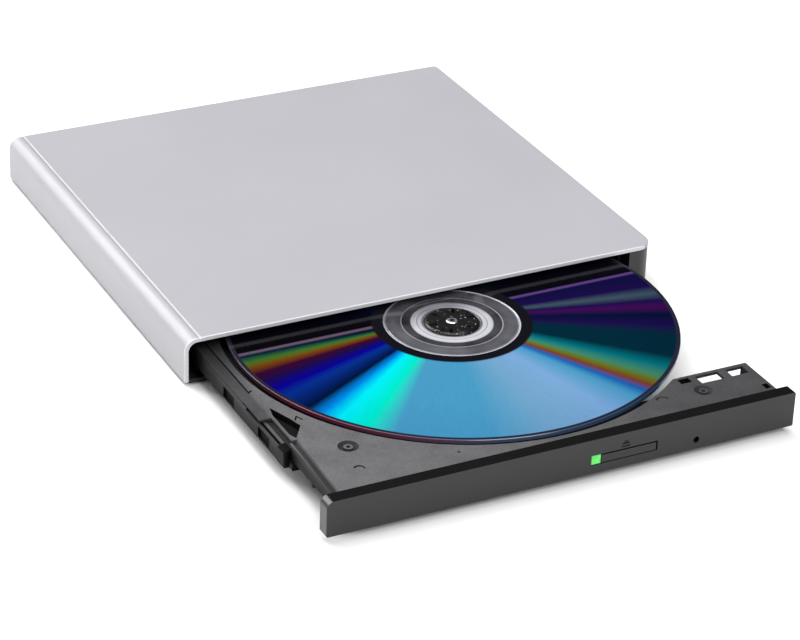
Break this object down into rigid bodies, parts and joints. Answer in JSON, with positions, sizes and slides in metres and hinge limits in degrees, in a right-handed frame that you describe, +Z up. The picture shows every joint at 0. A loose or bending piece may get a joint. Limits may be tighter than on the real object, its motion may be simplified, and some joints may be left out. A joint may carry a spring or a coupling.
{
  "type": "external optical drive",
  "caption": "Slim portable tray-loading disc drive with its drawer open and a disc on the spindle; cover folded over the left edge, dark bezel with light and eject key.",
  "frame": {"origin": "middle of the footprint of the whole drive with the drawer open as stored, on the desk under the feet", "axes": "+Z up, -Y the way the drawer opens, +X to the right seen from the front"},
  "size_m": [0.1404, 0.2158, 0.0134],
  "materials": {
    "silver_paint": "fine metallic silver paint on a moulded plastic cover",
    "case_plastic": "dark grey moulded plastic, fine spark texture",
    "bezel_plastic": "satin dark grey plastic",
    "tray_plastic": "dark grey glass-filled plastic, fine matte grain",
    "black_plastic": "smooth black plastic",
    "rubber": "soft black rubber",
    "steel_sheet": "plain pressed sheet steel",
    "bright_steel": "ground and polished steel",
    "pcb": "green solder mask on fibreglass board",
    "chip": "black moulded chip package",
    "nylon": "natural white nylon, slightly creamy",
    "led_green": "translucent green window, lit",
    "copper": "enamelled copper winding on a laminated core",
    "flex": "flat flexible cable, thin polyester film over copper strips",
    "disc_optical": "polycarbonate disc over a mirror layer, rainbow colours",
    "lens_glass": "clear coated objective lens"
  },
  "bodies": {
    "case": {"top_cover": "silver_paint", "bottom_case": "case_plastic", "foot_front_left": "rubber", "foot_front_right": "rubber", "foot_rear_left": "rubber", "foot_rear_right": "rubber", "case_screw_front": "steel_sheet", "case_screw_rear": "steel_sheet", "drive_screw_front": "steel_sheet", "drive_screw_rear": "steel_sheet", "drive_chassis": "steel_sheet", "chassis_lid": "black_plastic", "rail_guide_left": "black_plastic", "rail_guide_right": "nylon", "main_board": "pcb", "controller_chip": "chip", "motor_driver_chip": "chip", "board_connector": "nylon", "usb_board": "pcb", "usb_socket": "steel_sheet", "flex_cable": "flex", "ejector_housing": "nylon", "latch_post": "bright_steel"},
    "rail_left": {"slide_rail_left": "tray_plastic", "rail_stop_left": "black_plastic"},
    "rail_right": {"slide_rail_right": "tray_plastic"},
    "drawer": {"tray": "tray_plastic", "bezel": "bezel_plastic", "led_light_pipe": "led_green", "front_board": "pcb", "eject_switch": "chip", "tray_bottom_cover": "steel_sheet", "latch_solenoid": "copper", "latch_pin": "bright_steel", "traverse_base": "steel_sheet", "damper_1": "rubber", "damper_2": "rubber", "damper_3": "rubber", "damper_screw_1": "steel_sheet", "damper_screw_2": "steel_sheet", "damper_screw_3": "steel_sheet", "guide_rod_main": "bright_steel", "guide_rod_sub": "bright_steel", "sled_motor": "steel_sheet", "sled_motor_bracket": "steel_sheet", "lead_screw_bearing": "nylon", "traverse_cover": "black_plastic", "spindle_stator": "copper"},
    "eject_key": {"eject_button": "bezel_plastic"},
    "spindle": {"spindle_rotor": "bright_steel", "turntable_pad": "rubber", "hub_cap": "black_plastic", "disc": "disc_optical"},
    "sled": {"pickup_sled": "black_plastic", "sled_nut": "nylon"},
    "objective": {"lens_holder": "nylon", "lens": "lens_glass"},
    "feed_screw": {"lead_screw": "bright_steel"},
    "latch": {"latch_lever": "nylon"},
    "release_pin": {"emergency_slider": "nylon"}
  },
  "joints": [
    {"name": "drawer_slide", "type": "slide", "parent": "case", "child": "drawer", "axis": [0, -1, 0], "range_m": [-0.0826, 0.05], "deforming": ["flex_cable"]},
    {"name": "rail_left_slide", "type": "slide", "parent": "case", "child": "rail_left", "axis": [0, -1, 0], "range_m": [-0.0626, 0.038]},
    {"name": "rail_right_slide", "type": "slide", "parent": "case", "child": "rail_right", "axis": [0, -1, 0], "range_m": [-0.0626, 0.038]},
    {"name": "eject_button_press", "type": "slide", "parent": "drawer", "child": "eject_key", "axis": [0, 1, 0], "range_m": [0, 0.0006], "stiffness_N_per_m": 400},
    {"name": "spindle_spin", "type": "hinge", "parent": "drawer", "child": "spindle", "pos_m": [-0.00006, -0.0389, 0.009], "axis": [0, 0, 1], "continuous": true},
    {"name": "sled_travel", "type": "slide", "parent": "drawer", "child": "sled", "axis": [-0.7071, 0.7071, 0], "range_m": [0, 0.034]},
    {"name": "lead_screw_turn", "type": "hinge", "parent": "drawer", "child": "feed_screw", "pos_m": [-0.03966, -0.02193, 0.00585], "axis": [-0.7071, 0.7071, 0], "range_deg": [0, 4081]},
    {"name": "lens_focus", "type": "slide", "parent": "sled", "child": "objective", "axis": [0, 0, 1], "range_m": [-0.0003, 0.0003], "stiffness_N_per_m": 100},
    {"name": "latch_turn", "type": "hinge", "parent": "drawer", "child": "latch", "pos_m": [0.054, -0.101, 0.005], "axis": [0, 0, 1], "range_deg": [0, 5.72]},
    {"name": "emergency_release", "type": "slide", "parent": "drawer", "child": "release_pin", "axis": [0, -1, 0], "range_m": [0, 0.00201]}
  ],
  "couplings": [
    {"joint": "rail_left_slide", "follows": "drawer_slide", "ratio": 0.75666},
    {"joint": "rail_right_slide", "follows": "drawer_slide", "ratio": 0.75666},
    {"joint": "lead_screw_turn", "follows": "sled_travel", "rad_per_m": 2094.4},
    {"joint": "emergency_release", "follows": "latch_turn", "m_per_rad": 0.02}
  ]
}
